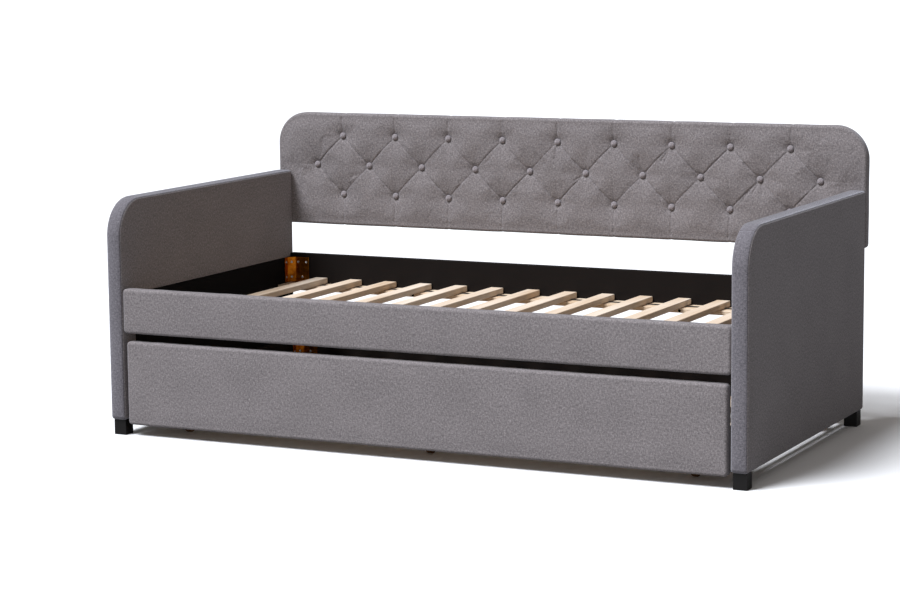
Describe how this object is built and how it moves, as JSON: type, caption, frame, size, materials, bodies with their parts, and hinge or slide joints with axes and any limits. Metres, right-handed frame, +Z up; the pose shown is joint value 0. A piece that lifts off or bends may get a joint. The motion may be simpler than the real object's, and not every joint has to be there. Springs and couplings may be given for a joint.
{
  "type": "daybed",
  "caption": "Upholstered daybed with padded arms, a button-tufted backrest panel, a slatted deck and a low pull-out trundle that rolls on casters.",
  "frame": {"origin": "on the floor, under the middle of the whole daybed, trundle in", "axes": "+X along the bed to the right of a person facing the front, +Y from the front to the backrest, +Z up"},
  "size_m": [2.08, 1.112, 0.929],
  "materials": {
    "woven_fabric": "mid grey woven polyester upholstery",
    "black_lining": "matte black lining cloth",
    "black_board": "black lacquered board",
    "plywood": "raw plywood",
    "slat_wood": "planed poplar, unfinished",
    "leg_black": "black lacquer, satin",
    "yellow_zinc": "yellow zinc plated steel",
    "caster_steel": "bright zinc plated pressed steel",
    "wheel_plastic": "brown nylon"
  },
  "bodies": {
    "daybed": {"back_rail": "black_board", "backrest_board": "plywood", "backrest_cushion": "woven_fabric", "bracket_back_left": "yellow_zinc", "bracket_back_right": "yellow_zinc", "bracket_front_left": "yellow_zinc", "bracket_front_right": "yellow_zinc", "front_ledger": "slat_wood", "front_rail_board": "plywood", "front_rail_cover": "woven_fabric", "left_arm_core": "plywood", "left_arm_cover": "woven_fabric", "left_arm_lining": "black_lining", "leg_back_left": "leg_black", "leg_back_right": "leg_black", "leg_front_left": "leg_black", "leg_front_right": "leg_black", "rear_ledger": "slat_wood", "right_arm_core": "plywood", "right_arm_cover": "woven_fabric", "right_arm_lining": "black_lining", "slat_01": "slat_wood", "slat_02": "slat_wood", "slat_03": "slat_wood", "slat_04": "slat_wood", "slat_05": "slat_wood", "slat_06": "slat_wood", "slat_07": "slat_wood", "slat_08": "slat_wood", "slat_09": "slat_wood", "slat_10": "slat_wood", "slat_11": "slat_wood", "slat_12": "slat_wood", "slat_13": "slat_wood", "slat_14": "slat_wood"},
    "trundle": {"caster_front_centre": "caster_steel", "caster_front_left": "caster_steel", "caster_front_right": "caster_steel", "caster_rear_centre": "caster_steel", "caster_rear_left": "caster_steel", "caster_rear_right": "caster_steel", "trundle_back_board": "black_board", "trundle_bracket_back_left": "yellow_zinc", "trundle_bracket_back_right": "yellow_zinc", "trundle_bracket_front_left": "yellow_zinc", "trundle_bracket_front_right": "yellow_zinc", "trundle_front_bearer": "slat_wood", "trundle_front_board": "plywood", "trundle_front_cover": "woven_fabric", "trundle_left_side": "black_board", "trundle_rear_bearer": "slat_wood", "trundle_right_side": "black_board", "trundle_slat_roll": "slat_wood"},
    "wheel_front_centre": {"wheel_front_centre": "wheel_plastic"},
    "wheel_front_left": {"wheel_front_left": "wheel_plastic"},
    "wheel_front_right": {"wheel_front_right": "wheel_plastic"},
    "wheel_rear_centre": {"wheel_rear_centre": "wheel_plastic"},
    "wheel_rear_left": {"wheel_rear_left": "wheel_plastic"},
    "wheel_rear_right": {"wheel_rear_right": "wheel_plastic"}
  },
  "joints": [
    {"name": "trundle_slide", "type": "slide", "parent": "daybed", "child": "trundle", "axis": [0, -1, 0], "range_m": [0, 1.05]},
    {"name": "wheel_front_centre_spin", "type": "hinge", "parent": "trundle", "child": "wheel_front_centre", "pos_m": [0, -0.418, 0.025], "axis": [1, 0, 0], "continuous": true},
    {"name": "wheel_front_left_spin", "type": "hinge", "parent": "trundle", "child": "wheel_front_left", "pos_m": [-0.838, -0.418, 0.025], "axis": [1, 0, 0], "continuous": true},
    {"name": "wheel_front_right_spin", "type": "hinge", "parent": "trundle", "child": "wheel_front_right", "pos_m": [0.838, -0.418, 0.025], "axis": [1, 0, 0], "continuous": true},
    {"name": "wheel_rear_centre_spin", "type": "hinge", "parent": "trundle", "child": "wheel_rear_centre", "pos_m": [0, 0.349, 0.025], "axis": [1, 0, 0], "continuous": true},
    {"name": "wheel_rear_left_spin", "type": "hinge", "parent": "trundle", "child": "wheel_rear_left", "pos_m": [-0.838, 0.349, 0.025], "axis": [1, 0, 0], "continuous": true},
    {"name": "wheel_rear_right_spin", "type": "hinge", "parent": "trundle", "child": "wheel_rear_right", "pos_m": [0.838, 0.349, 0.025], "axis": [1, 0, 0], "continuous": true}
  ],
  "couplings": [
    {"joint": "wheel_front_centre_spin", "follows": "trundle_slide", "rad_per_m": 40},
    {"joint": "wheel_front_left_spin", "follows": "trundle_slide", "rad_per_m": 40},
    {"joint": "wheel_front_right_spin", "follows": "trundle_slide", "rad_per_m": 40},
    {"joint": "wheel_rear_centre_spin", "follows": "trundle_slide", "rad_per_m": 40},
    {"joint": "wheel_rear_left_spin", "follows": "trundle_slide", "rad_per_m": 40},
    {"joint": "wheel_rear_right_spin", "follows": "trundle_slide", "rad_per_m": 40}
  ]
}
